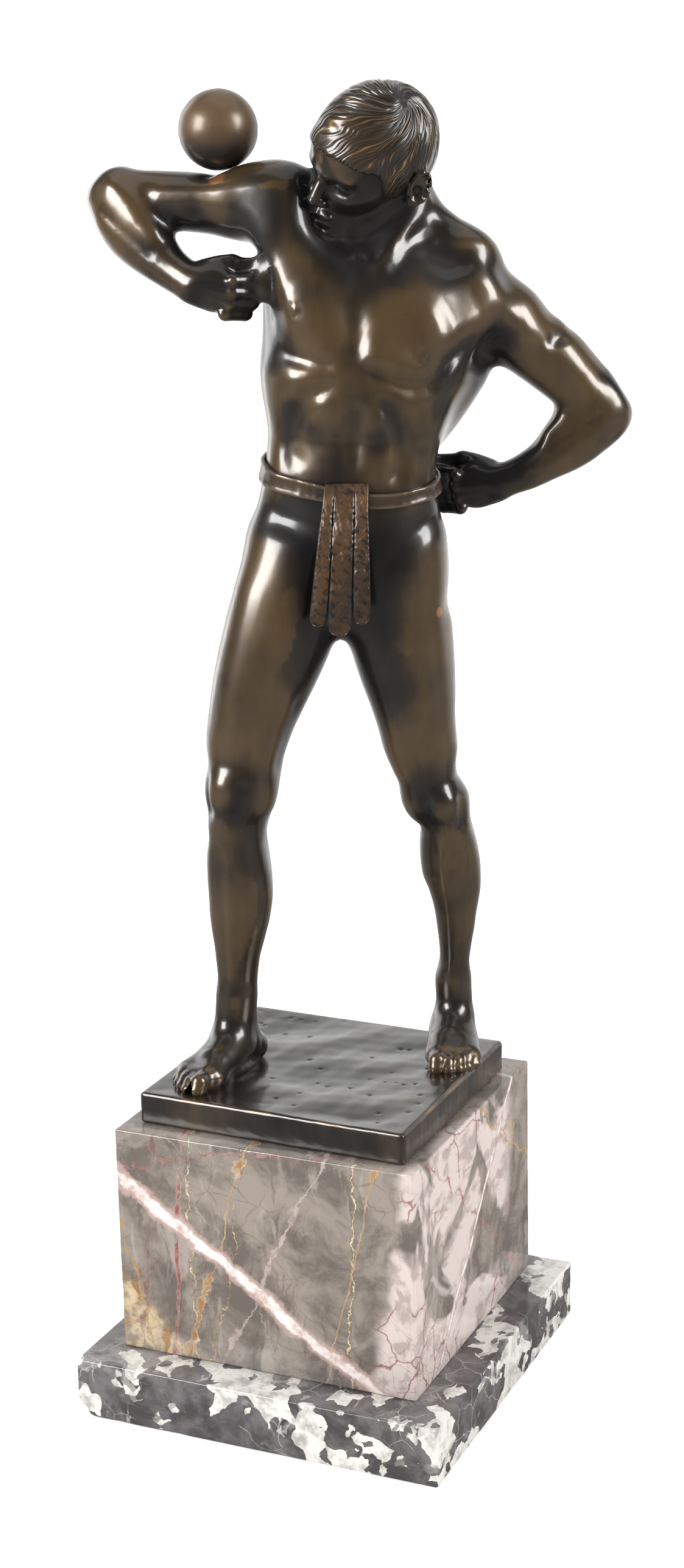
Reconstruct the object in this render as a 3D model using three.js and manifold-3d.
// A bronze statuette of an athlete who balances a ball on the raised right arm. The figure and the
// ground plate are one casting, the plate stands on a block of veined marble, and the block on a slab.
// Millimetres, +Z up. The origin is the centre of the slab's underside, +X runs right along its front.
import * as THREE from 'three';
import { mergeVertices } from 'three/addons/utils/BufferGeometryUtils.js';
import Module from 'manifold-3d';

// Driving dimensions
const SLAB = { width: 190, depth: 190.5, height: 29.6, corner: 1.6, bevel: 0.8 };
const BLOCK = { width: 155.8, depth: 156, height: 115.1, corner: 2.2, bevel: 0.8, x: -1.7, y: 4.1 };
const PLATE = { width: 140.7, depth: 131.9, height: 15.8, edge: 2.2, x: -1.5, y: 1.85 };
const BALL_RADIUS = 18.4;
const BALL_CENTRE = [-38.7, 22.4, 611.1];
const BELT_CLEARANCE = 0.9;
const BELT_THICKNESS = 1.8;
const FIGURE_TURN = 24.2 * Math.PI / 180;
const GROUND = SLAB.height + BLOCK.height + PLATE.height;

// How finely the figure is meshed, and how many faces it keeps
const CELL = 2.9;
const FIGURE_FACES = 6400;

// Vectors are plain arrays of three numbers
const add = (a, b) => [a[0] + b[0], a[1] + b[1], a[2] + b[2]];
const sub = (a, b) => [a[0] - b[0], a[1] - b[1], a[2] - b[2]];
const mul = (a, k) => [a[0] * k, a[1] * k, a[2] * k];
const dot = (a, b) => a[0] * b[0] + a[1] * b[1] + a[2] * b[2];
const cross = (a, b) => [a[1] * b[2] - a[2] * b[1], a[2] * b[0] - a[0] * b[2], a[0] * b[1] - a[1] * b[0]];
const size = (a) => Math.sqrt(dot(a, a));
const unit = (a) => mul(a, 1 / size(a));
const sum = (...list) => list.reduce(add);
const across = (a, axis) => sub(a, mul(axis, dot(a, axis)));
const clamp = (v, low, high) => Math.min(Math.max(v, low), high);
const lowest = (a, b) => a.map((v, i) => Math.min(v, b[i]));
const highest = (a, b) => a.map((v, i) => Math.max(v, b[i]));
const grow = (a, by) => a.map((v) => v + by);

// The minimum and maximum of two distances, with a fillet about k wide where they meet
function softMin(a, b, k) {
  const h = Math.max(k - Math.abs(a - b), 0) / k;
  return Math.min(a, b) - h * h * k / 4;
}
function softMax(a, b, k) {
  return -softMin(-a, -b, k);
}

// A straight axis through a limb, with a front and an outer side that looks towards `outward`
class Bone {
  constructor(start, end, front, outward) {
    this.start = start;
    this.length = size(sub(end, start));
    this.axis = unit(sub(end, start));
    this.front = unit(across(front, this.axis));
    const side = cross(this.axis, this.front);
    this.side = dot(side, outward) < 0 ? mul(side, -1) : side;
  }

  at(t, side = 0, front = 0) {
    return sum(this.start, mul(this.axis, t * this.length), mul(this.side, side), mul(this.front, front));
  }
}

// A smooth curve through the stations' values in one column, by their first column
function smoothColumn(stations, column) {
  const last = stations.length - 1;
  const gap = (i) => stations[i + 1][0] - stations[i][0];
  const rise = (i) => (stations[i + 1][column] - stations[i][column]) / gap(i);
  const slopes = stations.map((_, i) => {
    if (i === 0) return rise(0);
    if (i === last) return rise(last - 1);
    return (rise(i - 1) * gap(i) + rise(i) * gap(i - 1)) / (gap(i - 1) + gap(i));
  });
  return (t) => {
    const at = clamp(t, stations[0][0], stations[last][0]);
    let i = 0;
    while (i < last - 1 && stations[i + 1][0] <= at) i++;
    const x = (at - stations[i][0]) / gap(i);
    const turn = x * x * (3 - 2 * x);
    return stations[i][column] * (1 - turn) + stations[i + 1][column] * turn
      + gap(i) * x * (1 - x) * (slopes[i] * (1 - x) - slopes[i + 1] * x);
  };
}

// A limb: sections along a bone, each [place along it, outer, inner, front, back] from the axis
function limb(bone, stations, squareness, cap) {
  const [outer, inner, front, back] = [1, 2, 3, 4].map((column) => smoothColumn(stations, column));
  const first = stations[0][0];
  const last = stations[stations.length - 1][0];
  const reach = Math.max(...stations.flatMap((station) => station.slice(1)));
  const distance = (p) => {
    const q = sub(p, bone.start);
    const t = dot(q, bone.axis) / bone.length;
    const halfWide = (outer(t) + inner(t)) / 2;
    const halfDeep = (front(t) + back(t)) / 2;
    const s = dot(q, bone.side) - (outer(t) - inner(t)) / 2;
    const w = dot(q, bone.front) - (front(t) - back(t)) / 2;
    const part = Math.pow(Math.abs(s) / halfWide, squareness) + Math.pow(Math.abs(w) / halfDeep, squareness);
    const share = Math.pow(part, 1 / squareness);
    const deepest = -Math.min(halfWide, halfDeep);
    const d = share > 1e-6 ? Math.max(Math.hypot(s, w) * (1 - 1 / share), deepest) : deepest;
    return softMax(d, Math.max(first - t, t - last) * bone.length, cap);
  };
  const low = grow(lowest(bone.at(first), bone.at(last)), -reach);
  const high = grow(highest(bone.at(first), bone.at(last)), reach);
  return { distance, low, high };
}

// A round muscle from a to b, thickest at `peak`, its ends `ends` as thick, flattened to `thin` along `flat`
function muscle(a, b, radius, ends, peak = 0.5, flat = null, thin = 1) {
  const ab = sub(b, a);
  const distance = (p) => {
    const q = sub(p, a);
    const t = clamp(dot(q, ab) / dot(ab, ab), 0, 1);
    const rise = t < peak ? t / peak : (1 - t) / (1 - peak);
    const thick = radius * (ends + (1 - ends) * rise * (2 - rise));
    const off = sub(q, mul(ab, t));
    if (!flat) return size(off) - thick;
    const pressed = add(off, mul(flat, (1 / thin - 1) * dot(off, flat)));
    return (size(pressed) - thick) * Math.sqrt(thin);
  };
  return { distance, low: grow(lowest(a, b), -radius), high: grow(highest(a, b), radius) };
}

// An egg shape with its own axes
function pebble(centre, radii, along = [1, 0, 0], beside = null) {
  const x = unit(along);
  const y = unit(across(beside ?? (Math.abs(x[1]) < 0.9 ? [0, 1, 0] : [0, 0, 1]), x));
  const z = cross(x, y);
  const distance = (p) => {
    const q = sub(p, centre);
    const e = [dot(q, x) / radii[0], dot(q, y) / radii[1], dot(q, z) / radii[2]];
    const share = size(e);
    const steep = Math.hypot(e[0] / radii[0], e[1] / radii[1], e[2] / radii[2]);
    return steep > 1e-9 ? share * (share - 1) / steep : -Math.min(...radii);
  };
  const reach = Math.max(...radii);
  return { distance, low: grow(centre, -reach), high: grow(centre, reach) };
}

// Clay is worked in steps: a solid is pressed on with a fillet, or a soft ridge or furrow is drawn
const EMPTY = 60;
class Clay {
  constructor() {
    this.steps = [];
  }

  add(shape, fillet) {
    const work = (f, p) => softMin(f, shape.distance(p), fillet);
    this.steps.push({ work, low: grow(shape.low, -fillet - 3), high: grow(shape.high, fillet + 3) });
  }

  // A ridge from a to b, or a furrow where `height` is negative, spread along `through` if it is given
  draw(a, b, width, height, through = null) {
    const spread = through ? mul(through.map(Math.abs), 26) : [0, 0, 0];
    const ab = through ? across(sub(b, a), through) : sub(b, a);
    const length2 = Math.max(dot(ab, ab), 1e-12);
    const work = (f, p) => {
      const q = sub(p, a);
      const deep = through ? dot(q, through) / 14 : 0;
      const flat = through ? across(q, through) : q;
      const off = sub(flat, mul(ab, clamp(dot(flat, ab) / length2, 0, 1)));
      return f - height * Math.exp(-dot(off, off) / (width * width) - deep * deep);
    };
    const low = sub(grow(lowest(a, b), -2.6 * width), spread);
    const high = add(grow(highest(a, b), 2.6 * width), spread);
    this.steps.push({ work, low, high });
  }

  stepsIn(low, high) {
    return this.steps.filter((s) => [0, 1, 2].every((i) => s.low[i] < high[i] && s.high[i] > low[i]));
  }

  // The signed distance to the surface at p, below zero inside
  at(p, steps = this.steps) {
    let f = EMPTY;
    for (const s of steps) {
      if (p[0] <= s.low[0] || p[1] <= s.low[1] || p[2] <= s.low[2]) continue;
      if (p[0] >= s.high[0] || p[1] >= s.high[1] || p[2] >= s.high[2]) continue;
      f = s.work(f, p);
    }
    return f;
  }
}

// The pose, seen from the figure's front: x runs right, y away and z up, from the same origin.
// R and L are the figure's own right and left, so R is on the left side of this view.
const POSE = {
  hipR: [-6, 15, 424], kneeR: [-38, 7, 301], ankleR: [-43.6, 10, 184], toeR: [-71, -30, 163],
  hipL: [40, 17, 422], kneeL: [56.5, 20, 293], ankleL: [65, 33, 184], toeL: [62, -14, 163],
  shoulderR: [-9, 16, 577], elbowR: [-85.5, 33, 580], wristR: [-51.1, 7, 542.5], fistR: [-33.5, 0, 537.5],
  shoulderL: [77.5, 23, 537.5], elbowL: [137.5, 36, 478], wristL: [88, 29, 444.2], fistL: [67.5, 27, 442.5],
  head: [32.3, 8, 604.5],
};
const SHIN_TOP_L = [60.5, 20, 291];
const THROUGH = [0, 1, 0];
const FINGER = 3.5;

// Sections of the legs: [place along the bone, outer, inner, front, back]
const THIGH_R = [
  [-0.02, 23.5, 26, 24, 27], [0.15, 23.8, 27, 26, 27], [0.37, 24.2, 26.5, 26, 26], [0.52, 24.3, 23, 24.5, 24],
  [0.63, 23.5, 19.8, 23, 21.5], [0.74, 22, 16.6, 21, 19], [0.85, 20, 15, 19, 17.5],
  [0.96, 15.8, 15.8, 17.5, 16.5], [1.05, 14, 15, 16, 15]];
const SHIN_R = [
  [-0.08, 14.5, 16, 16, 15], [0.03, 15, 15.4, 16.5, 14.5], [0.13, 14.2, 12.4, 15.5, 13.5],
  [0.19, 13.8, 11.2, 14.6, 13.4], [0.26, 15.8, 12.4, 14, 14.6], [0.36, 16.6, 14.6, 13.4, 16],
  [0.46, 16, 15.6, 12.6, 16], [0.54, 15.2, 15, 12, 14.6], [0.62, 13.4, 13.2, 11.2, 13],
  [0.72, 11.6, 10.6, 10.2, 11.6], [0.84, 9.6, 9.1, 9.6, 11.2], [0.96, 8.7, 8.5, 9.6, 11.6],
  [1.04, 8.8, 8.6, 10, 12]];
const THIGH_L = [
  [-0.02, 21, 28, 24, 27], [0.1, 20.6, 30, 25.5, 27], [0.29, 18.6, 31, 25.5, 26], [0.39, 18, 30, 25, 25],
  [0.49, 17, 28, 24, 23.5], [0.59, 15.5, 25.4, 22.6, 21.5], [0.69, 13.6, 23, 20.8, 19.5],
  [0.79, 12.8, 21.4, 19, 18], [0.9, 12, 17.2, 17.5, 17], [1, 13.4, 15.2, 16.5, 16], [1.05, 13, 14, 15.5, 15]];
const SHIN_L = [
  [-0.06, 10, 17.5, 15.5, 14.5], [0.045, 11.4, 15, 16, 14.5], [0.11, 13, 12, 15, 13.6],
  [0.18, 14.8, 12.6, 14, 14.6], [0.3, 16.6, 12.8, 13, 16], [0.37, 16.8, 12, 12.4, 16],
  [0.43, 16.5, 9.9, 12, 15.4], [0.5, 15.2, 8.1, 11.4, 14.2],
  [0.56, 13.7, 7.1, 10.8, 13], [0.63, 12.4, 6.5, 10.2, 12], [0.76, 9.6, 5.8, 9.4, 11],
  [0.83, 8.4, 6.2, 9.2, 10.8], [0.9, 7.6, 7.1, 9.4, 11.4], [1.03, 7.6, 7.6, 10, 12]];

function leg(clay, thigh, shin, thighSections, shinSections, calf) {
  clay.add(limb(thigh, thighSections, 2.2, 10), 10);
  clay.add(limb(shin, shinSections, 2.1, 8), 8);
  thighMuscles(clay, thigh);
  knee(clay, shin);
  calfAndShin(clay, shin, calf);
  clay.add(pebble(shin.at(1.01, 7.2, -2), [4.2, 4.2, 5]), 4);
  clay.add(pebble(shin.at(0.97, -7, 1), [4.4, 4.4, 5]), 4);
}

function thighMuscles(clay, thigh) {
  clay.draw(thigh.at(0.25, 8, 18), thigh.at(0.75, 3, 17), 10, 2);
  clay.draw(thigh.at(0.35, 19, 4), thigh.at(0.8, 14, 6), 9, 1.8);
  clay.draw(thigh.at(0.62, -12, 12), thigh.at(0.86, -12, 9), 6.5, 2.6);
  clay.draw(thigh.at(0.3, -14, 14), thigh.at(0.6, -17, 4), 5, -1.2);
  clay.draw(thigh.at(0.25, 10, -18), thigh.at(0.85, 9, -13), 8, 1.8);
  clay.draw(thigh.at(0.25, -8, -18), thigh.at(0.85, -9, -13), 8, 1.8);
  clay.draw(thigh.at(0.6, 0, -20), thigh.at(1.02, 0, -19), 5.5, -2.6);
}

function knee(clay, shin) {
  clay.draw(shin.at(-0.03, 0, 17), shin.at(0.03, 0, 17), 6.5, 2.9);
  clay.draw(shin.at(0.1, 0, 16), shin.at(0.16, 0, 15), 4.5, 1.8);
  clay.draw(shin.at(-0.02, 12, 13), shin.at(0.04, 11, 13), 4, -1.3);
  clay.draw(shin.at(-0.02, -12, 13), shin.at(0.04, -11, 13), 4, -1.3);
  clay.draw(shin.at(0, 15, 0), shin.at(0.03, 15, 0), 6, 1.2);
  clay.draw(shin.at(0, -15, 2), shin.at(0.03, -15, 2), 6.5, 1.4);
}

function calfAndShin(clay, shin, calf) {
  clay.draw(shin.at(0.12, calf - 5.5, -15), shin.at(0.44, calf - 5, -15.5), 6, 2.6);
  clay.draw(shin.at(0.12, calf + 5.5, -15), shin.at(0.38, calf + 5.5, -15), 6, 2.2);
  clay.draw(shin.at(0.2, calf, -18), shin.at(0.5, calf, -18), 3, -1.4);
  clay.draw(shin.at(0.56, -1, -13), shin.at(0.9, 0, -13), 3.4, 1.6);
  clay.draw(shin.at(0.62, 7, -9), shin.at(0.95, 6, -9), 3.5, -1.2);
  clay.draw(shin.at(0.62, -7, -9), shin.at(0.95, -6, -9), 3.5, -1.2);
  clay.draw(shin.at(0.16, -3, 14), shin.at(0.8, -3, 10.5), 2.6, 1);
  clay.draw(shin.at(0.16, 7, 11), shin.at(0.6, 6, 9), 6, 0.9);
}

// Toes from the big one outwards: [half width, place across the foot, reach as a share of its length]
const TOES = [[4.1, -8, 1], [2.9, -2.2, 0.985], [2.8, 2.6, 0.93], [2.7, 7, 0.86], [2.6, 11, 0.78]];

function foot(clay, ankle, toe, outward) {
  const heading = unit([toe[0] - ankle[0], toe[1] - ankle[1], 0]);
  const left = cross([0, 0, 1], heading);
  const side = dot(left, outward) < 0 ? mul(left, -1) : left;
  const sole = [ankle[0], ankle[1], GROUND - 0.8];
  const length = Math.hypot(toe[0] - ankle[0], toe[1] - ankle[1]);
  const at = (f, s, up) => sum(sole, mul(heading, f), mul(side, s), [0, 0, up]);
  clay.add(muscle(at(-9, 0, 7), at(-2, 0, 9), 9, 0.9), 5);
  clay.add(pebble(at(-11, 0, 6.5), [8, 8, 7.5]), 4);
  clay.add(muscle(at(-2, 0, 14), at(length * 0.45, -2, 9), 10.5, 0.8, 0.4), 7);
  clay.add(muscle(at(4, 3, 7), at(length * 0.62, 7.5, 4.5), 7.5, 0.75, 0.4), 5);
  clay.add(muscle(at(length * 0.1, -4, 11), at(length * 0.66, -6.5, 6), 7.2, 0.8, 0.4), 5);
  clay.add(pebble(at(length * 0.64, -1, 5), [9, 12.5, 5.5], heading, side), 5);
  for (const [width, s, reach] of TOES) {
    const knuckle = at(length * (reach - 0.12), s * 0.97, width + 2.2);
    const tip = at(length * reach - width, s, width * 0.75);
    clay.add(muscle(at(length * 0.66, s * 0.85, 5), knuckle, width, 1), 2.2);
    clay.add(muscle(knuckle, tip, width * 0.96, 1), 1.6);
    clay.add(pebble(tip, [width, width * 0.95, width * 0.8], heading, side), 1.2);
  }
  // the sole, filled down to the ground plate
  clay.add(pebble(at(length * 0.28, -1, 1), [length * 0.5, 10, 4.5], heading, side), 4);
  clay.add(pebble(at(length * 0.6, 0, 0), [length * 0.3, 11, 3.5], heading, side), 4);
  clay.draw(at(4, -4, 20), at(length * 0.7, -7, 9), 2.2, 0.9);
  clay.draw(at(-8, -8, 8), at(length * 0.35, -8, 2.5), 6, -1.2);
}

// Finger rows of a fist, from the forefinger down: [place across the hand, how far the knuckle sits back]
const FINGERS = [[7, 0.8], [1.6, 0], [-3.8, 0.8], [-9, 2.4]];

function fist(clay, wrist, knuckles, curl, thumb, bulk) {
  const along = unit(sub(knuckles, wrist));
  const palm = unit(across(curl, along));
  const side = unit(across(across(thumb, along), palm));
  const length = size(sub(knuckles, wrist));
  const at = (f, s, p) => sum(wrist, mul(along, f), mul(side, s), mul(palm, p));
  clay.add(pebble(at(length * 0.42, 0.5, 2.6), [length * 0.66 * bulk, 11.4, 7.8], along, side), 5);
  for (const [s, back] of FINGERS) {
    const knuckle = at(length - back, s, 0.6);
    const middle = at(length * 1.3 - back, s * 0.98, 8.6);
    const end = at(length * 0.92 - back, s * 0.95, 14.5);
    clay.add(muscle(knuckle, middle, FINGER, 1), 1.6);
    clay.add(muscle(middle, end, FINGER * 0.97, 1), 1.4);
    clay.add(muscle(end, at(length * 0.62 - back, s * 0.93, 10.5), FINGER * 0.92, 1), 1.4);
    clay.draw(at(length * 0.98 - back, s, -2.4), at(length * 0.99 - back, s, -2.4), 3, 0.8);
  }
  clay.add(pebble(at(length * 0.92, -1, 7), [7, 10, 5.5], along, side), 3);
  clay.add(muscle(at(length * 0.1, 8, 5), at(length * 0.66, 12.6, 7.5), 4.4, 0.9), 3);
  clay.add(muscle(at(length * 0.66, 12.6, 7.5), at(length * 1.2, 11, 12.5), 3.4, 0.95), 1.6);
}

// The right arm is raised level, with the fist back against the side of the chest
function rightArm(clay) {
  const upper = new Bone(POSE.shoulderR, POSE.elbowR, [0, -1, 0.15], [0, 0, 1]);
  clay.add(limb(upper, [
    [-0.12, 15, 18, 16, 16], [0.08, 15.5, 18, 16, 16], [0.3, 14.6, 16.5, 15.5, 15],
    [0.45, 14, 14.2, 14.6, 14], [0.62, 14, 13.2, 13.6, 13.6], [0.8, 14.2, 13, 12.6, 13.4],
    [0.95, 14, 13, 12, 13], [1.08, 12.5, 12.5, 11, 12]],
  2.1, 9), 10);
  clay.draw(upper.at(0.34, 2, 14), upper.at(0.7, 1, 14), 7, 2);
  clay.draw(upper.at(0.3, -3, -14), upper.at(0.75, -2, -14), 8, 2.2);
  clay.add(muscle(upper.at(-0.18, 5, 3), upper.at(0.42, 2, 2), 15.5, 0.45, 0.38), 9);
  clay.draw(upper.at(0.44, 10, 8), upper.at(0.5, -6, 12), 4, -1.2);
  clay.add(pebble(add(POSE.elbowR, [-6, 3, 2]), [8.2, 8, 8]), 6);
  const fore = new Bone(POSE.elbowR, POSE.wristR, [-0.3, -0.9, -0.25], [-1, 0, 0]);
  clay.add(limb(fore, [
    [-0.2, 10, 12, 12, 11], [0.08, 17.6, 13, 14, 12], [0.26, 19, 12.4, 14, 11.5], [0.45, 17.8, 9.6, 12.6, 10.5],
    [0.6, 15.8, 6.8, 11, 9.6], [0.7, 14.2, 5.9, 10, 9], [0.82, 12.3, 6.6, 9, 8.4], [0.92, 10.6, 7.7, 8.6, 8],
    [1.1, 8.6, 9, 8, 7.8]],
  2.1, 6), 6);
  clay.draw(fore.at(0, -8, 10), fore.at(0.5, -7, 9), 5, 2.4);
  clay.draw(fore.at(0.05, 3, 13), fore.at(0.6, 1, 9), 2.4, -0.8);
  clay.draw(fore.at(0.1, 9, 9), fore.at(0.6, 7, 7), 4, 1);
  fist(clay, POSE.wristR, POSE.fistR, [0.45, 1, 0.1], [0, 0.25, 1], 1);
  // the ball presses a shallow seat into the top of the arm
  const seat = [BALL_CENTRE[0], BALL_CENTRE[1], BALL_CENTRE[2] - BALL_RADIUS - 1];
  clay.draw(seat, add(seat, [0, 0, 0.5]), 8, -1.9);
}

// The left arm is bent, with the fist on the hip
function leftArm(clay) {
  const upper = new Bone(POSE.shoulderL, POSE.elbowL, [-0.45, -0.85, 0], [1, 0, 0]);
  clay.add(limb(upper, [
    [-0.1, 15, 18, 17, 17], [0.12, 15.7, 19, 17, 17], [0.26, 17.4, 18.6, 16, 16.5],
    [0.44, 15.5, 16.6, 15, 15.6], [0.61, 17, 14.4, 14.4, 15], [0.83, 15.1, 12.2, 13, 13.6],
    [0.94, 14, 12, 12.4, 13], [1.04, 12, 11.5, 11.5, 12], [1.15, 8, 10, 9, 10]],
  2.1, 6), 8);
  clay.draw(upper.at(0, 6, 13), upper.at(0.34, 6, 12), 8, 2.4);
  clay.draw(upper.at(0, 8, -10), upper.at(0.34, 8, -10), 8, 1.8);
  clay.draw(upper.at(0.5, 12, 8), upper.at(0.56, 14, -4), 4, -1.6);
  clay.draw(upper.at(0.38, -4, 13), upper.at(0.78, -3, 12), 6.5, 2.2);
  clay.draw(upper.at(0.5, 12, -6), upper.at(0.86, 11, -7), 6, 2.2);
  clay.add(pebble(add(POSE.elbowL, [5.5, 2, -4]), [8, 8, 8]), 6);
  const fore = new Bone(POSE.elbowL, POSE.wristL, [0, -1, 0.1], [0, 0, -1]);
  clay.add(limb(fore, [
    [-0.2, 10, 11, 11, 11], [-0.05, 15, 13, 13, 12.6], [0.08, 17, 13.3, 13.6, 13], [0.25, 18, 12.6, 13.4, 13],
    [0.38, 17.4, 9.6, 12, 12], [0.6, 14.6, 5.5, 10.4, 10.4], [0.77, 12.4, 5.7, 9, 9], [0.95, 9, 8, 8, 8],
    [1.08, 8.3, 8.5, 7.8, 7.8]],
  2.1, 6), 6);
  clay.draw(fore.at(0.02, -8, 9), fore.at(0.45, -7, 8), 5, 2);
  clay.draw(fore.at(0.05, 2, 12), fore.at(0.5, 1, 10), 2.4, -0.8);
  fist(clay, POSE.wristL, POSE.fistL, [-0.5, 1, 0], [0, 0.1, 1], 0.95);
}

// The head looks to its own right, bent down a little and leaning over to its left.
// Inside the head, places are [forward, to its left, up] from the middle of the skull.
const HEAD_TURN = { yaw: 54, pitch: 10, roll: 26, scale: 1.06 };

function headFrame() {
  const [yaw, pitch, roll] = [HEAD_TURN.yaw, HEAD_TURN.pitch, HEAD_TURN.roll].map(THREE.MathUtils.degToRad);
  const forward = [-Math.sin(yaw) * Math.cos(pitch), -Math.cos(yaw) * Math.cos(pitch), -Math.sin(pitch)];
  const upright = unit(across([0, 0, 1], forward));
  const level = cross(upright, forward);
  const up = add(mul(upright, Math.cos(roll)), mul(level, Math.sin(roll)));
  const side = sub(mul(level, Math.cos(roll)), mul(upright, Math.sin(roll)));
  return { forward, side, up };
}

function head(clay) {
  const k = HEAD_TURN.scale;
  const { forward, side, up } = headFrame();
  const at = (f, s, w) => sum(POSE.head, mul(forward, k * f), mul(side, k * s), mul(up, k * w));
  const egg = (f, s, w, ...radii) => pebble(at(f, s, w), mul(radii, k), forward, side);
  const skull = new Clay();
  skull.add(egg(-1, 0, 0, 28, 21.6, 24.5), 3);
  skull.add(egg(-6, 0, -7, 20, 19, 18), 6);
  skull.add(egg(8, 0, -14, 17, 16.5, 19), 7);
  skull.add(egg(9, 0, -29, 12.5, 12, 9.5), 6);
  skull.add(egg(12, 0, -2, 15.5, 17, 14), 6);
  skull.add(muscle(at(-4, 14, -24), at(16, 6, -35), 5.2 * k, 0.8), 5);
  skull.add(muscle(at(-4, -14, -24), at(16, -6, -35), 5.2 * k, 0.8), 5);
  skull.add(egg(19, 0, -36.5, 5.2, 6.2, 4.6), 4);
  face(skull, at, egg, k);
  for (const e of [1, -1]) {
    const upward = sum(forward, mul(up, 0.22), mul(side, -0.35 * e));
    const outward = add(mul(side, e), mul(forward, 0.35));
    skull.add(muscle(at(-1.5, e * 20.5, -12), at(-2.5, e * 21, -18), 3 * k, 0.7), 3);
    skull.add(pebble(at(-4.8, e * 23.4, -13), [5.2 * k, 2.6 * k, 7.8 * k], upward, outward), 1.6);
  }
  skull.add(hair(forward, up, egg, k), 1.2);
  clay.steps.push(...skull.steps);
}

// A plain face: brow, eyes, cheeks, nose, mouth and chin
function face(skull, at, egg, k) {
  for (const e of [1, -1]) {
    skull.draw(at(25, e * 3, -8.2), at(22, e * 12, -8), 3 * k, 2 * k);
    skull.draw(at(24.5, e * 7.2, -12.6), at(22, e * 10, -12.6), 3.4 * k, -3.4 * k);
    skull.draw(at(21, e * 7.6, -13), at(20.5, e * 9, -13), 2.6 * k, 2.4 * k);
    skull.draw(at(19, e * 11.5, -18), at(12, e * 16, -16.5), 4.5 * k, 1.8 * k);
    skull.draw(at(20, e * 9, -25), at(14, e * 12, -27), 4.5 * k, -1.6 * k);
    skull.draw(at(15, e * 17, -6), at(14, e * 17, -3), 5 * k, -1.6 * k);
  }
  skull.add(muscle(at(25.5, 0, -10.5), at(29.3, 0, -20.5), 2.8 * k, 0.75, 0.85), 2.4);
  skull.add(egg(29.2, 0, -21, 3.1, 2.7, 2.6), 1.6);
  skull.add(egg(27, 2.9, -21.6, 2.6, 1.9, 1.9), 1.6);
  skull.add(egg(27, -2.9, -21.6, 2.6, 1.9, 1.9), 1.6);
  skull.add(muscle(at(24.6, -6, -28), at(24.6, 6, -28), 2.5 * k, 0.35), 2.2);
  skull.add(muscle(at(24.2, -5, -31.2), at(24.2, 5, -31.2), 2.7 * k, 0.4), 2);
  skull.draw(at(27.4, -4.5, -29.6), at(27.4, 4.5, -29.6), 1.1 * k, -1.2 * k);
  skull.draw(at(24.5, -3, -34.3), at(24.5, 3, -34.3), 2.2 * k, -1.2 * k);
}

// The hair's lower edge: [forward, height], low at the nape, over the ears and up at the forehead
const HAIR_EDGE = [
  [-30, -22], [-20, -21], [-10, -17], [-6, -9], [0, -16], [5, -16], [8, -9], [12, -3], [17, 0.5],
  [22, 2.5], [30, 3]];

function hair(forward, up, egg, k) {
  const cap = new Clay();
  cap.add(egg(-1.2, 0, 0.6, 29, 22.7, 25.2), 2);
  cap.add(egg(-8.5, 0, -6, 20.3, 20, 18), 5);
  cap.add(egg(12, 0, -1, 17, 18, 15.4), 5);
  const edge = (f) => {
    const i = Math.max(HAIR_EDGE.findIndex((point) => point[0] > f), 1);
    const [a, b] = [HAIR_EDGE[i - 1], HAIR_EDGE[i]];
    return a[1] + (b[1] - a[1]) * clamp((f - a[0]) / (b[0] - a[0]), 0, 1);
  };
  const distance = (p) => {
    const q = mul(sub(p, POSE.head), 1 / k);
    const below = (edge(clamp(dot(q, forward), -29.9, 29.9)) - dot(q, up)) * 0.8 * k;
    return softMax(cap.at(p), below, 2);
  };
  return { distance, low: grow(POSE.head, -42), high: grow(POSE.head, 42) };
}

function neck(clay) {
  clay.add(muscle([40, 19, 545], [37, 15, 585], 17, 0.98), 8);
  clay.add(muscle([38, 12, 550], [38, 10, 574], 13, 0.95), 8);
  clay.draw([52, 6, 578], [34, -4, 549], 3.6, 2.6);
  clay.draw([20, 2, 570], [28, -5, 550], 3.4, 0.8);
  clay.add(muscle([44, 24, 574], [79, 24, 549], 11, 0.85, 0.4), 14);
  clay.add(muscle([28, 24, 573], [-12, 20, 577], 12, 0.8, 0.4), 12);
  clay.draw([31, -12, 549], [66, -4, 559], 2.6, 2);
  clay.draw([24, -12, 549], [0, -6, 572], 2.6, 1.6);
  clay.draw([27, -14, 552], [27.5, -12, 548], 3.2, -2.6);
  clay.draw([45, -2, 560], [60, 6, 564], 5, -2.2);
}

function trunk(clay) {
  const pelvis = new Bone([17.5, 15, 385], [22, 15, 500], [-0.14, -0.99, 0], [1, 0, 0]);
  clay.add(limb(pelvis, [
    [-0.05, 30, 32, 14, 20], [0.13, 41, 44, 21, 27], [0.34, 42, 47, 25, 28], [0.48, 40.5, 45, 27, 26],
    [0.6, 38.5, 42, 27.5, 24], [0.73, 40, 40.5, 27, 23.5], [0.87, 42, 41, 28, 25], [1.05, 44, 43, 29, 27]],
  2.25, 12), 8);
  const ribs = new Bone([24, 15, 478], [36, 17, 568], [-0.05, -1, 0.05], [1, 0, 0]);
  clay.add(limb(ribs, [
    [0, 37, 42, 27, 26], [0.12, 41, 44.5, 29, 28], [0.25, 47, 46, 30.5, 30], [0.42, 48, 47, 31, 31.5],
    [0.6, 45, 45, 28, 31], [0.8, 37, 40, 20, 28], [1, 22, 26, 10, 20]],
  2.3, 14), 12);
  clay.add(pebble([-4, 31, 414], [22, 20, 22]), 12);
  clay.add(pebble([37, 33, 412], [22, 20, 22]), 12);
  clay.draw([16, 52, 432], [15, 50, 392], 5, -7);
}

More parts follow.
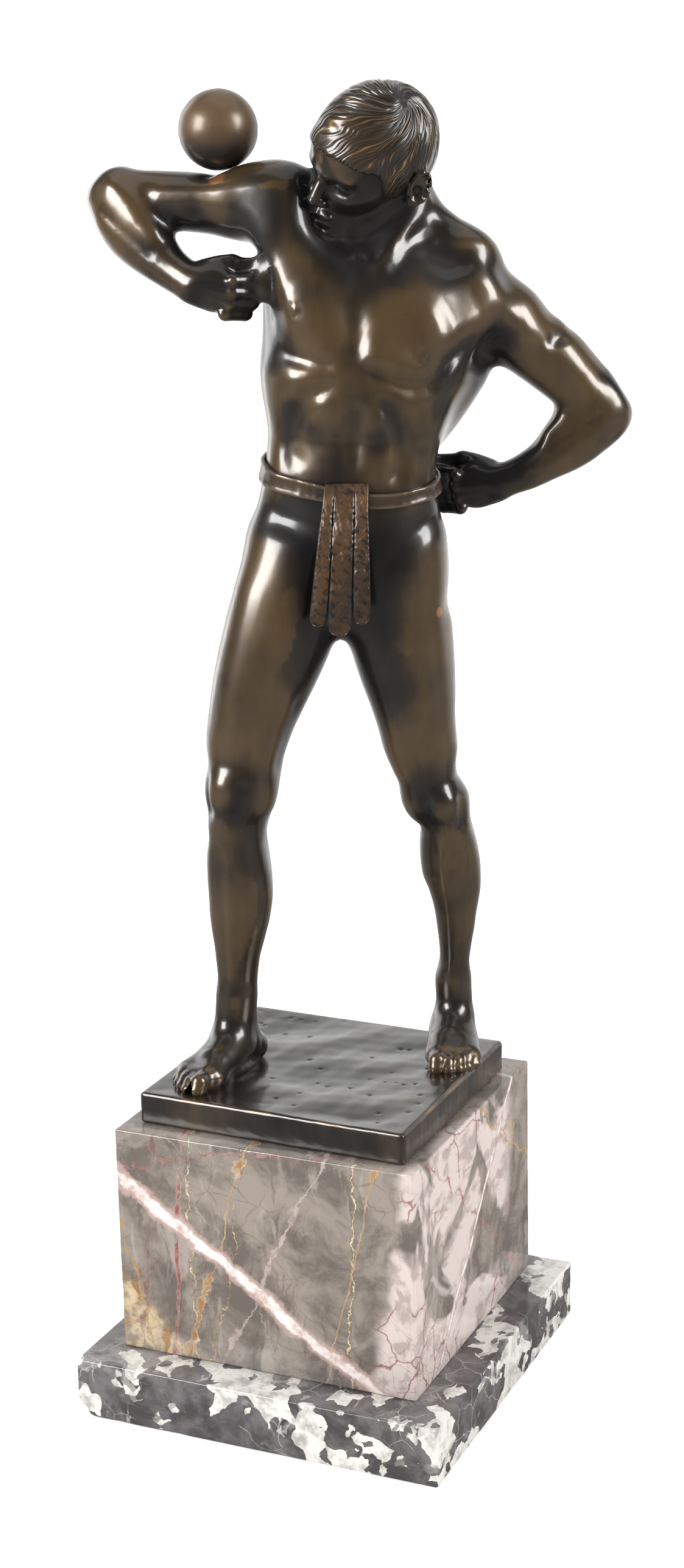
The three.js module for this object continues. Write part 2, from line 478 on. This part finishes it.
// Ridges and furrows of the trunk: [from x, y, z, to x, y, z, width, height]
const CHEST_LINES = [
  [26, -16, 545, 21.5, -18, 506, 3.6, -2.8], [50, -16, 516, 70, -10, 524, 9, 2.2],
  [33, -18, 508, 46, -16, 506, 6, 1.6], [-4, -16, 536, 8, -18, 516, 9, 2],
  [28, -17, 501, 52, -15, 494, 3.4, -2.6], [52, -15, 494, 66, -9, 503, 3.4, -3],
  [66, -9, 503, 82, 2, 517, 3.8, -3.2], [-12, -12, 512, 0, -17, 504, 3.8, -2],
  [0, -17, 504, 16, -18, 503, 3.4, -1.6], [-17, -6, 548, -13, -8, 520, 3.4, -2.2]];
const RIB_ARCH_LINES = [
  [-8, -18, 491, 7, -20, 500.5, 3.2, 1.6], [7, -20, 500.5, 20, -20, 504, 3.2, 1.4],
  [22, -20, 504, 33, -20, 497, 3.2, 1.6], [33, -20, 497, 44, -17, 476, 3.4, 1.6],
  [-3, -18, 482, 5, -20, 493, 3.2, -2.2], [5, -20, 493, 20, -20, 498, 3, -2],
  [22, -20, 498, 31, -20, 491, 3, -2.2], [31, -20, 491, 39, -18, 470, 3.2, -2.8]];
const BELLY_LINES = [
  [39, -18, 470, 38, -16, 452, 3.4, -2.2], [-3, -18, 482, 0, -16, 452, 3.6, -2],
  [21, -20, 500, 20, -20, 440, 2.8, -2.2], [3, -18, 472.5, 35, -18, 472.5, 2.4, -1],
  [5, -18, 485, 33, -18, 485, 2.4, -0.8], [11, -19, 479, 12, -19, 478, 6, 1.2],
  [29, -19, 479, 29, -19, 478, 6, 1.2], [11, -19, 464, 12, -19, 460, 7, 1.4],
  [29, -19, 464, 29, -19, 460, 7, 1.4], [20.5, -19, 459, 20.5, -19, 458, 2.2, -2.2],
  [52, -8, 478, 56, 0, 458, 7, 1.6], [-14, -8, 474, -16, 0, 456, 7, 1.6],
  [-22, 0, 436, 2, -14, 408, 4, -2], [60, 2, 436, 34, -14, 406, 4, -2]];
const BACK_LINES = [
  [34, 50, 545, 21, 44, 440, 4.5, -3.6], [54, 48, 535, 48, 50, 512, 9, 3], [8, 46, 545, 6, 49, 520, 9, 3],
  [28, 48, 500, 26, 46, 450, 7, 1.8], [14, 48, 500, 15, 46, 450, 7, 1.8]];

function trunkRelief(clay) {
  clay.add(muscle([50, 32, 464], [76, 27, 512], 15, 0.5, 0.72), 14);
  clay.add(muscle([-3, 30, 462], [-8, 25, 556], 13, 0.6, 0.7), 12);
  clay.add(muscle([36, -2, 520], [76, 6, 532], 15, 0.75, 0.3, THROUGH, 0.62), 7);
  clay.add(muscle([33, -1, 512], [70, 4, 522], 11.5, 0.8, 0.35, THROUGH, 0.7), 7);
  clay.add(muscle([14, -2, 528], [-10, 4, 562], 14.5, 0.8, 0.3, THROUGH, 0.62), 7);
  clay.add(muscle([10, -2, 518], [-9, 3, 540], 11, 0.8, 0.35, THROUGH, 0.7), 7);
  for (const line of [...CHEST_LINES, ...RIB_ARCH_LINES, ...BELLY_LINES, ...BACK_LINES])
    clay.draw(line.slice(0, 3), line.slice(3, 6), line[6], line[7], THROUGH);
  // four ribs on each flank
  for (let i = 0; i < 4; i++) {
    const z = 500 - i * 8;
    const forward = i * 1.5 - 9;
    clay.draw([62 - i * 2.5, forward, z], [71 - i * 3.2, 6, z - 5], 2.6, 1.7, THROUGH);
    clay.draw([-13, forward, z], [-19, 6, z - 6], 2.6, 1.4, THROUGH);
  }
}

function legs(clay) {
  const right = [-1, 0, 0];
  const left = [1, 0, 0];
  const thighR = new Bone(POSE.hipR, POSE.kneeR, [-0.45, -0.9, 0], right);
  const shinR = new Bone(POSE.kneeR, POSE.ankleR, [-0.55, -0.83, 0], right);
  leg(clay, thighR, shinR, THIGH_R, SHIN_R, 0);
  const thighL = new Bone(POSE.hipL, POSE.kneeL, [0.02, -1, 0], left);
  const shinL = new Bone(SHIN_TOP_L, POSE.ankleL, [0.05, -1, 0], left);
  leg(clay, thighL, shinL, THIGH_L, SHIN_L, 2);
}

function figureClay() {
  const clay = new Clay();
  trunk(clay);
  neck(clay);
  rightArm(clay);
  leftArm(clay);
  trunkRelief(clay);
  legs(clay);
  foot(clay, POSE.ankleR, POSE.toeR, [-1, 0, 0]);
  foot(clay, POSE.ankleL, POSE.toeL, [1, 0, 0]);
  head(clay);
  return clay;
}

// A closed net over the clay's surface: one point in each cell that the surface crosses
class Net {
  constructor(clay, low, high, cell) {
    this.low = low;
    this.cell = cell;
    this.cells = [0, 1, 2].map((i) => Math.ceil((high[i] - low[i]) / cell / Net.BLOCK) * Net.BLOCK);
    const [nx, ny, nz] = this.cells.map((n) => n + 1);
    this.stride = [ny * nz, nz, 1];
    this.sample = new Float32Array(nx * ny * nz).fill(EMPTY);
    this.corners = Array.from({ length: 8 }, (_, c) => [c >> 2 & 1, c >> 1 & 1, c & 1]);
    this.offsets = this.corners.map((c) => dot(c, this.stride));
    this.takeSamples(clay);
    this.mendChequers();
    this.placePoints();
    this.stretchFaces();
  }

  place(i, j, k) {
    return add(this.low, mul([i, j, k], this.cell));
  }

  each(step, visit) {
    for (let i = 0; i < this.cells[0]; i += step)
      for (let j = 0; j < this.cells[1]; j += step)
        for (let k = 0; k < this.cells[2]; k += step) visit(i, j, k);
  }

  takeSamples(clay) {
    const n = Net.BLOCK;
    this.each(n, (bi, bj, bk) => {
      const [low, high] = [this.place(bi, bj, bk), this.place(bi + n, bj + n, bk + n)];
      const steps = clay.stepsIn(low, high);
      if (!steps.length) return;
      const middle = clay.at(mul(add(low, high), 0.5), steps);
      const near = Math.abs(middle) < n * this.cell * 1.1 + 10;
      for (let i = bi; i <= bi + n; i++)
        for (let j = bj; j <= bj + n; j++)
          for (let k = bk; k <= bk + n; k++) {
            const id = dot([i, j, k], this.stride);
            if (near) this.sample[id] = clay.at(this.place(i, j, k), steps);
            else if (middle < 0 && this.sample[id] === EMPTY) this.sample[id] = -EMPTY;
          }
    });
  }

  // Where samples inside and outside alternate across a face or from a corner to the far corner,
  // the one nearest the surface changes sides, so that the net never touches itself
  mendChequers() {
    const isIn = (id) => this.sample[id] < 0;
    const flipNearest = (ids) => {
      const id = ids.reduce((a, b) => (Math.abs(this.sample[a]) < Math.abs(this.sample[b]) ? a : b));
      this.sample[id] = isIn(id) ? 0.05 : -0.05;
    };
    let changed = true;
    while (changed) {
      changed = false;
      this.each(1, (i, j, k) => {
        const id = dot([i, j, k], this.stride);
        for (const [u, v] of [[0, 1], [1, 2], [2, 0]]) {
          const [a, b] = [this.stride[u], this.stride[v]];
          const face = [id, id + a, id + a + b, id + b];
          if (isIn(face[0]) !== isIn(face[2]) || isIn(face[1]) !== isIn(face[3])) continue;
          if (isIn(face[0]) === isIn(face[1])) continue;
          flipNearest(face);
          changed = true;
        }
        const ids = this.offsets.map((offset) => id + offset);
        const inside = ids.filter(isIn).length;
        if (inside !== 2 && inside !== 6) return;
        for (let c = 0; c < 4; c++) {
          const pair = [ids[c], ids[7 - c]];
          if (pair.some((one) => isIn(one) !== (inside === 2))) continue;
          flipNearest(pair);
          changed = true;
        }
      });
    }
  }

  placePoints() {
    this.points = [];
    this.pointIn = new Int32Array(this.sample.length).fill(-1);
    this.each(1, (i, j, k) => {
      const id = dot([i, j, k], this.stride);
      const values = this.offsets.map((offset) => this.sample[id + offset]);
      const crossings = [];
      for (let c = 0; c < 8; c++)
        for (const axis of [0, 1, 2]) {
          const d = c | 4 >> axis;
          if (d === c || values[c] < 0 === values[d] < 0) continue;
          const at = this.corners[c].slice();
          at[axis] += values[c] / (values[c] - values[d]);
          crossings.push(at);
        }
      if (!crossings.length) return;
      this.pointIn[id] = this.points.length;
      this.points.push(add(this.place(i, j, k), mul(sum(...crossings), this.cell / crossings.length)));
    });
  }

  stretchFaces() {
    this.faces = [];
    this.each(1, (i, j, k) => {
      if (!i || !j || !k) return;
      const id = dot([i, j, k], this.stride);
      const inside = this.sample[id] < 0;
      for (let axis = 0; axis < 3; axis++) {
        if (inside === this.sample[id + this.stride[axis]] < 0) continue;
        const [u, v] = [this.stride[(axis + 1) % 3], this.stride[(axis + 2) % 3]];
        const ring = [id - u - v, id - v, id, id - u].map((cell) => this.pointIn[cell]);
        this.addQuad(inside ? ring : ring.reverse());
      }
    });
  }

  addQuad(ring) {
    const [a, b, c, d] = ring;
    const long = (p, q) => size(sub(this.points[p], this.points[q]));
    if (long(a, c) < long(b, d)) this.faces.push([a, b, c], [a, c, d]);
    else this.faces.push([b, c, d], [b, d, a]);
  }
}
Net.BLOCK = 6;

// The largest connected sheet of a net, without small hollows inside
function outerSkin({ points, faces }) {
  const root = points.map((_, i) => i);
  const find = (i) => {
    while (root[i] !== i) i = root[i] = root[root[i]];
    return i;
  };
  for (const [a, b, c] of faces) {
    root[find(a)] = find(b);
    root[find(b)] = find(c);
  }
  const count = new Map();
  for (const face of faces) count.set(find(face[0]), (count.get(find(face[0])) ?? 0) + 1);
  const largest = [...count].reduce((a, b) => (a[1] > b[1] ? a : b))[0];
  return { points, faces: faces.filter((face) => find(face[0]) === largest) };
}

// Moves each point of a net onto the clay's surface
function settle(clay, points, rounds) {
  const h = 0.15;
  const towards = [[h, 0, 0], [0, h, 0], [0, 0, h]];
  for (let round = 0; round < rounds; round++)
    points.forEach((p, i) => {
      const steps = clay.stepsIn(grow(p, -2), grow(p, 2));
      const f = clay.at(p, steps);
      const slope = towards.map((step) => (clay.at(add(p, step), steps) - f) / h);
      points[i] = add(p, mul(slope, clamp(-f / Math.max(dot(slope, slope), 0.2), -1.5, 1.5)));
    });
}

// The squared distance to a plane, as the ten numbers of a symmetric 4 x 4 matrix
function planeQuadric(normal, offset, weight) {
  const q = [...normal, offset];
  return [[0, 0], [0, 1], [0, 2], [0, 3], [1, 1], [1, 2], [1, 3], [2, 2], [2, 3], [3, 3]]
    .map(([i, j]) => weight * q[i] * q[j]);
}
function quadricError(q, [x, y, z]) {
  return q[0] * x * x + 2 * q[1] * x * y + 2 * q[2] * x * z + 2 * q[3] * x + q[4] * y * y
    + 2 * q[5] * y * z + 2 * q[6] * y + q[7] * z * z + 2 * q[8] * z + q[9];
}

// The place of least error for a joined pair of points, if it is close by, or their middle
function quadricBest(q, a, b) {
  const rows = [[q[0], q[1], q[2]], [q[1], q[4], q[5]], [q[2], q[5], q[7]]];
  const right = [-q[3], -q[6], -q[8]];
  const minors = cross(rows[1], rows[2]);
  const determinant = dot(rows[0], minors);
  const middle = mul(add(a, b), 0.5);
  if (Math.abs(determinant) <= 1e-5 * (q[0] + q[4] + q[7]) ** 3) return middle;
  const columns = [minors, cross(rows[2], rows[0]), cross(rows[0], rows[1])];
  const best = sum(...columns.map((column, i) => mul(column, right[i] / determinant)));
  return size(sub(best, middle)) < size(sub(a, b)) * 1.2 ? best : middle;
}

// A heap that gives back the cheapest entry first
class CheapestFirst {
  constructor() {
    this.items = [];
  }

  push(item) {
    const { items } = this;
    let i = items.length;
    while (i > 0) {
      const parent = i - 1 >> 1;
      if (items[parent].cost <= item.cost) break;
      items[i] = items[parent];
      i = parent;
    }
    items[i] = item;
  }

  pop() {
    const { items } = this;
    const top = items[0];
    const item = items.pop();
    if (!items.length) return top;
    let i = 0;
    for (let child = 1; child < items.length; child = 2 * i + 1) {
      if (child + 1 < items.length && items[child + 1].cost < items[child].cost) child++;
      if (items[child].cost >= item.cost) break;
      items[i] = items[child];
      i = child;
    }
    items[i] = item;
    return top;
  }
}

// Joins pairs of neighbouring points, cheapest first, until few enough faces are left.
// `care` says how much dearer a place is, so that it keeps more of its faces.
class Thinner {
  constructor(points, faces, care) {
    this.points = points;
    this.faces = faces;
    this.quadrics = points.map(() => new Array(10).fill(0));
    this.around = points.map(() => new Set());
    this.age = points.map(() => 0);
    this.heap = new CheapestFirst();
    faces.forEach((face, i) => {
      const normal = this.normal(face);
      const twiceArea = size(normal) + 1e-12;
      const flat = mul(normal, 1 / twiceArea);
      const corner = points[face[0]];
      const quadric = planeQuadric(flat, -dot(flat, corner), twiceArea * care(corner) / 2);
      for (const v of face) {
        this.around[v].add(i);
        this.quadrics[v] = this.quadrics[v].map((value, n) => value + quadric[n]);
      }
    });
    for (const [a, b, c] of faces)
      for (const [p, q] of [[a, b], [b, c], [c, a]]) if (p < q) this.offer(p, q);
  }

  normal(face, points = face.map((v) => this.points[v])) {
    return cross(sub(points[1], points[0]), sub(points[2], points[0]));
  }

  offer(a, b) {
    const quadric = this.quadrics[a].map((value, n) => value + this.quadrics[b][n]);
    const place = quadricBest(quadric, this.points[a], this.points[b]);
    const apart = sub(this.points[a], this.points[b]);
    const cost = Math.max(quadricError(quadric, place), 0) + 1e-4 * dot(apart, apart);
    this.heap.push({ cost, a, b, place, quadric, ages: [this.age[a], this.age[b]] });
  }

  neighbours(v) {
    const ring = new Set();
    for (const face of this.around[v]) for (const w of this.faces[face]) if (w !== v) ring.add(w);
    return ring;
  }

  // A pair can be joined where that leaves the surface closed, unfolded and without slivers
  canJoin({ a, b, place, ages }) {
    if (this.age[a] !== ages[0] || this.age[b] !== ages[1]) return false;
    const [ringA, ringB] = [this.neighbours(a), this.neighbours(b)];
    if ([...ringA].filter((v) => ringB.has(v)).length !== 2 || ringA.size + ringB.size < 8) return false;
    return [a, b].every((v) => [...this.around[v]].every((id) => {
      const face = this.faces[id];
      if (face.includes(a) && face.includes(b)) return true;
      const before = this.normal(face);
      const moved = face.map((w) => (w === v ? place : this.points[w]));
      const after = this.normal(face, moved);
      const longest = Math.max(...[0, 1, 2].map((i) => size(sub(moved[i], moved[(i + 1) % 3]))));
      return dot(before, after) >= 0.3 * size(before) * size(after) && size(after) >= 0.12 * longest ** 2;
    }));
  }

  join({ a, b, place, quadric }) {
    for (const id of [...this.around[b]]) {
      if (this.faces[id].includes(a)) {
        for (const w of this.faces[id]) this.around[w].delete(id);
        this.faces[id] = null;
        this.left--;
      } else {
        this.faces[id] = this.faces[id].map((w) => (w === b ? a : w));
        this.around[a].add(id);
      }
    }
    this.points[a] = place;
    this.quadrics[a] = quadric;
    this.age[a]++;
    this.age[b] = -1;
    for (const w of this.neighbours(a)) this.offer(a, w);
  }

  run(target) {
    this.left = this.faces.length;
    while (this.left > target && this.heap.items.length) {
      const pair = this.heap.pop();
      if (this.canJoin(pair)) this.join(pair);
    }
    const number = new Map();
    const faces = this.faces.filter(Boolean);
    for (const v of faces.flat()) if (!number.has(v)) number.set(v, number.size);
    const points = [...number.keys()].map((v) => this.points[v]);
    return { points, faces: faces.map((face) => face.map((v) => number.get(v))) };
  }
}

const wasm = await Module();
wasm.setup();

function solidOf(vertProperties, triVerts) {
  return new wasm.Manifold(new wasm.Mesh({ numProp: 3, vertProperties, triVerts }));
}
function solidOfFaces({ points, faces }) {
  return solidOf(new Float32Array(points.flat()), new Uint32Array(faces.flat()));
}
function solidOfGeometry(geometry) {
  geometry.deleteAttribute('normal');
  geometry.deleteAttribute('uv');
  const merged = mergeVertices(geometry, 1e-4);
  return solidOf(new Float32Array(merged.attributes.position.array), new Uint32Array(merged.index.array));
}
function geometryOf(solid) {
  const mesh = solid.getMesh();
  const geometry = new THREE.BufferGeometry();
  geometry.setAttribute('position', new THREE.BufferAttribute(new Float32Array(mesh.vertProperties), 3));
  geometry.setIndex(new THREE.BufferAttribute(new Uint32Array(mesh.triVerts), 1));
  geometry.computeVertexNormals();
  return geometry;
}

// From the figure's own directions to the slab's
function turned([x, y, z]) {
  const [c, s] = [Math.cos(FIGURE_TURN), Math.sin(FIGURE_TURN)];
  return [x * c - y * s, x * s + y * c, z];
}
function turnedSolid({ points, faces }) {
  return solidOfFaces({ points: points.map(turned), faces });
}

// A dressed stone: its upright edges rounded, and a small bevel all round
function stone({ width, depth, height, corner, bevel }) {
  const [x, y] = [width / 2 - bevel, depth / 2 - bevel];
  const outline = new THREE.Shape();
  outline.moveTo(corner - x, -y);
  outline.lineTo(x - corner, -y);
  outline.quadraticCurveTo(x, -y, x, corner - y);
  outline.lineTo(x, y - corner);
  outline.quadraticCurveTo(x, y, x - corner, y);
  outline.lineTo(corner - x, y);
  outline.quadraticCurveTo(-x, y, -x, y - corner);
  outline.lineTo(-x, corner - y);
  outline.quadraticCurveTo(-x, -y, corner - x, -y);
  const geometry = new THREE.ExtrudeGeometry(outline, {
    depth: height - 2 * bevel, curveSegments: 3, bevelSize: bevel, bevelThickness: bevel, bevelSegments: 2,
  });
  return geometry.translate(0, 0, bevel);
}

// The slab, with the chip that is missing from its lower front corner on the left
function slab() {
  const chip = new THREE.IcosahedronGeometry(9, 1);
  chip.scale(1, 0.8, 1.1);
  chip.rotateZ(0.6);
  chip.translate(-SLAB.width / 2 - 1.5, -SLAB.depth / 2 - 1, -1);
  return geometryOf(solidOfGeometry(stone(SLAB)).subtract(solidOfGeometry(chip)));
}

// Grid lines across the plate, close together at its worn edges
function plateLines(length) {
  const edge = [0, 0.3 * PLATE.edge, PLATE.edge].map((v) => v - length / 2);
  const steps = 10;
  const step = (length - 2 * PLATE.edge) / steps;
  const between = Array.from({ length: steps - 1 }, (_, i) => edge[2] + step * (i + 1));
  return [...edge, ...between, ...edge.map((v) => -v).reverse()];
}

// The height of the plate's hand-worked top, which rolls over at the edges
function plateTop(x, y) {
  const inwards = Math.min(PLATE.width / 2 - Math.abs(x), PLATE.depth / 2 - Math.abs(y));
  const waves = 0.35 * Math.sin(x * 0.09 + 1.3) * Math.cos(y * 0.07 - 0.4)
    + 0.3 * Math.sin(x * 0.21 + y * 0.13) + 0.2 * Math.cos(x * 0.05 - y * 0.24) - 0.1;
  const e = Math.min(inwards, PLATE.edge) - PLATE.edge;
  return GROUND - PLATE.edge + Math.sqrt(PLATE.edge ** 2 - e * e) + Math.min(inwards / 12, 1) * waves;
}

function groundPlate() {
  const base = SLAB.height + BLOCK.height;
  const [xs, ys] = [plateLines(PLATE.width), plateLines(PLATE.depth)];
  const [nx, ny] = [xs.length, ys.length];
  const points = xs.flatMap((x) => ys.map((y) => [x + PLATE.x, y + PLATE.y, plateTop(x, y)]));
  const id = (i, j) => i * ny + j;
  const faces = [];
  for (let i = 0; i < nx - 1; i++)
    for (let j = 0; j < ny - 1; j++) {
      const [a, b, c, d] = [id(i, j), id(i + 1, j), id(i + 1, j + 1), id(i, j + 1)];
      if (i < nx / 2 === j < ny / 2) faces.push([a, b, c], [a, c, d]);
      else faces.push([a, b, d], [b, c, d]);
    }
  const rim = [];
  for (let i = 0; i < nx - 1; i++) rim.push(id(i, 0));
  for (let j = 0; j < ny - 1; j++) rim.push(id(nx - 1, j));
  for (let i = nx - 1; i > 0; i--) rim.push(id(i, ny - 1));
  for (let j = ny - 1; j > 0; j--) rim.push(id(0, j));
  const foot = points.length;
  for (const v of rim) points.push([points[v][0], points[v][1], base]);
  const centre = points.length;
  points.push([PLATE.x, PLATE.y, base]);
  rim.forEach((a, k) => {
    const next = (k + 1) % rim.length;
    const [b, c, d] = [rim[next], foot + next, foot + k];
    faces.push([a, d, c], [a, c, b], [centre, c, d]);
  });
  return solidOfFaces({ points, faces });
}

// The figure keeps most faces on its hands, then its feet and head
function care(p) {
  if (size(sub(p, POSE.fistR)) < 24 || size(sub(p, POSE.fistL)) < 24) return 5;
  if (p[2] > 560 && size(sub(p, POSE.head)) < 42) return 4;
  return p[2] < POSE.ankleR[2] ? 4 : 1;
}

function figure() {
  const clay = figureClay();
  const net = outerSkin(new Net(clay, [-112, -62, 150], [164, 78, 645], CELL));
  settle(clay, net.points, 2);
  const thinned = new Thinner(net.points, net.faces, care).run(FIGURE_FACES);
  return geometryOf(turnedSolid(thinned).add(groundPlate()));
}

// The belt, by the angle round the waist from the front: [degrees, height, half width].
// It is open where the left fist rests on the hip.
const BELT = [
  [-180, 457, 3.6], [-135, 459, 4.2], [-90, 457, 4.9], [-60, 451.5, 4.7], [-30, 447.8, 4.2], [0, 444.6, 3.8],
  [30, 443.6, 3.7], [60, 446, 3.7], [90, 449.5, 3.8], [135, 454, 3.7], [180, 457, 3.6]];
const BELT_FROM = -215;
const BELT_TO = 98;
const BELT_STEPS = 52;
const BELT_SECTION = [[-1, 0], [-1, 0.6], [-0.3, 1], [0.3, 1], [1, 0.6], [1, 0]];
const WAIST_AXIS = [20, 16];

// The point at this angle round the waist and this height that is `off` outside the bare trunk
function skin(bare, degrees, z, off) {
  const angle = degrees * Math.PI / 180;
  const at = (r) => [WAIST_AXIS[0] + r * Math.sin(angle), WAIST_AXIS[1] - r * Math.cos(angle), z];
  let [near, far] = [5, 75];
  while (far - near > 0.01) {
    const middle = (near + far) / 2;
    if (bare.at(at(middle)) < off) near = middle;
    else far = middle;
  }
  return at(far);
}

function belt(bare) {
  const [height, half] = [1, 2].map((column) => smoothColumn(BELT, column));
  const points = [];
  const faces = [];
  for (let i = 0; i <= BELT_STEPS; i++) {
    const degrees = BELT_FROM + (BELT_TO - BELT_FROM) * i / BELT_STEPS;
    const round = degrees < -180 ? degrees + 360 : degrees;
    for (const [up, out] of BELT_SECTION)
      points.push(skin(bare, degrees, height(round) + up * half(round), BELT_CLEARANCE + out * BELT_THICKNESS));
  }
  const row = BELT_SECTION.length;
  const last = BELT_STEPS * row;
  for (let i = 0; i < last; i += row)
    for (let j = 0; j < row; j++) {
      const [a, b] = [i + j, i + (j + 1) % row];
      faces.push([a, a + row, b + row], [a, b + row, b]);
    }
  for (let j = 1; j < row - 1; j++) faces.push([0, j, j + 1], [last, last + j + 1, last + j]);
  return { points, faces };
}

// The apron: three hanging folds with rounded ends, the middle one the longest
const APRON = {
  top: 452.4, front: -13.9, drape: 7.1, fold: 1.6, columns: 5, rows: 15,
  topEdges: [6.6, 10.9, 20.3, 26.2], lowEdges: [-2.9, 6, 17.4, 26.4],
  shoulders: [392.5, 388, 392.5], ends: [386.6, 381.6, 387.2],
};

// A point of the apron: u counts the folds across, v runs 0 to 1 down, side 0 is the front
function apronPoint(u, v, side) {
  const fold = Math.min(Math.floor(u), 2);
  const s = u - fold;
  const round = Math.sqrt(Math.max(1 - (2 * s - 1) ** 2, 0));
  const seam = s === 0 && fold > 0;
  const shoulder = seam ? (APRON.shoulders[fold] + APRON.shoulders[fold - 1]) / 2 - 2 : APRON.shoulders[fold];
  const end = shoulder + (APRON.ends[fold] - shoulder) * round;
  const z = APRON.top + (end - APRON.top) * v;
  const down = (APRON.top - z) / (APRON.top - APRON.shoulders[1]);
  const edge = (n) => APRON.topEdges[n] + (APRON.lowEdges[n] - APRON.topEdges[n]) * Math.min(down ** 0.9, 1.05);
  const x = edge(fold) + (edge(fold + 1) - edge(fold)) * s;
  const hang = APRON.front - APRON.drape * Math.sin(Math.min(down * 1.6, 1) * Math.PI / 2) + 2.2 * down;
  const rim = Math.sqrt(clamp(Math.min(v * 6, (1 - v) * 5), 0, 1));
  return [x, side === 0 ? hang - rim * (1.1 + APRON.fold * round) : hang + rim * 1.3, z];
}

function apron() {
  const { rows } = APRON;
  const columns = 3 * APRON.columns;
  const points = [];
  for (let side = 0; side < 2; side++)
    for (let i = 0; i <= rows; i++)
      for (let j = 0; j <= columns; j++) points.push(apronPoint(j / APRON.columns, i / rows, side));
  const id = (side, i, j) => (side * (rows + 1) + i) * (columns + 1) + j;
  const faces = [];
  for (let i = 0; i < rows; i++)
    for (let j = 0; j < columns; j++) {
      const square = [[i, j], [i + 1, j], [i + 1, j + 1], [i, j + 1]];
      const [f, b] = [0, 1].map((side) => square.map((corner) => id(side, ...corner)));
      faces.push([f[0], f[1], f[2]], [f[0], f[2], f[3]], [b[0], b[2], b[1]], [b[0], b[3], b[2]]);
    }
  const wall = (a, b) => {
    faces.push([id(0, ...a), id(1, ...a), id(1, ...b)], [id(0, ...a), id(1, ...b), id(0, ...b)]);
  };
  for (let i = 0; i < rows; i++) {
    wall([i, 0], [i + 1, 0]);
    wall([i + 1, columns], [i, columns]);
  }
  for (let j = 0; j < columns; j++) {
    wall([0, j + 1], [0, j]);
    wall([rows, j], [rows, j + 1]);
  }
  return { points, faces };
}

function loincloth() {
  const bare = new Clay();
  trunk(bare);
  trunkRelief(bare);
  legs(bare);
  return geometryOf(turnedSolid(belt(bare)).add(turnedSolid(apron())));
}

const bronze = { color: '#43382b', roughness: 0.28, metalness: 1 };
const brownBronze = { color: '#5a3a26', roughness: 0.45, metalness: 1 };
const wornBronze = { color: '#6a5844', roughness: 0.3, metalness: 1 };
const taupeMarble = { color: '#948a84', roughness: 0.2, metalness: 0 };
const greyMarble = { color: '#6f6b6b', roughness: 0.2, metalness: 0 };

function piece(name, geometry, finish) {
  const mesh = new THREE.Mesh(geometry, new THREE.MeshStandardMaterial(finish));
  mesh.name = name;
  return mesh;
}

const marbleSlab = piece('marble_slab', slab(), greyMarble);
const marbleBlock = piece('marble_block', stone(BLOCK), taupeMarble);
marbleBlock.position.set(BLOCK.x, BLOCK.y, SLAB.height);
const ball = piece('ball', new THREE.SphereGeometry(BALL_RADIUS, 28, 16), wornBronze);
ball.position.set(...turned(BALL_CENTRE));
ball.rotation.x = Math.PI / 2;

const object = new THREE.Group();
object.add(marbleSlab, marbleBlock, ball);
object.add(piece('figure', figure(), bronze));
object.add(piece('loincloth', loincloth(), brownBronze));

export default object;
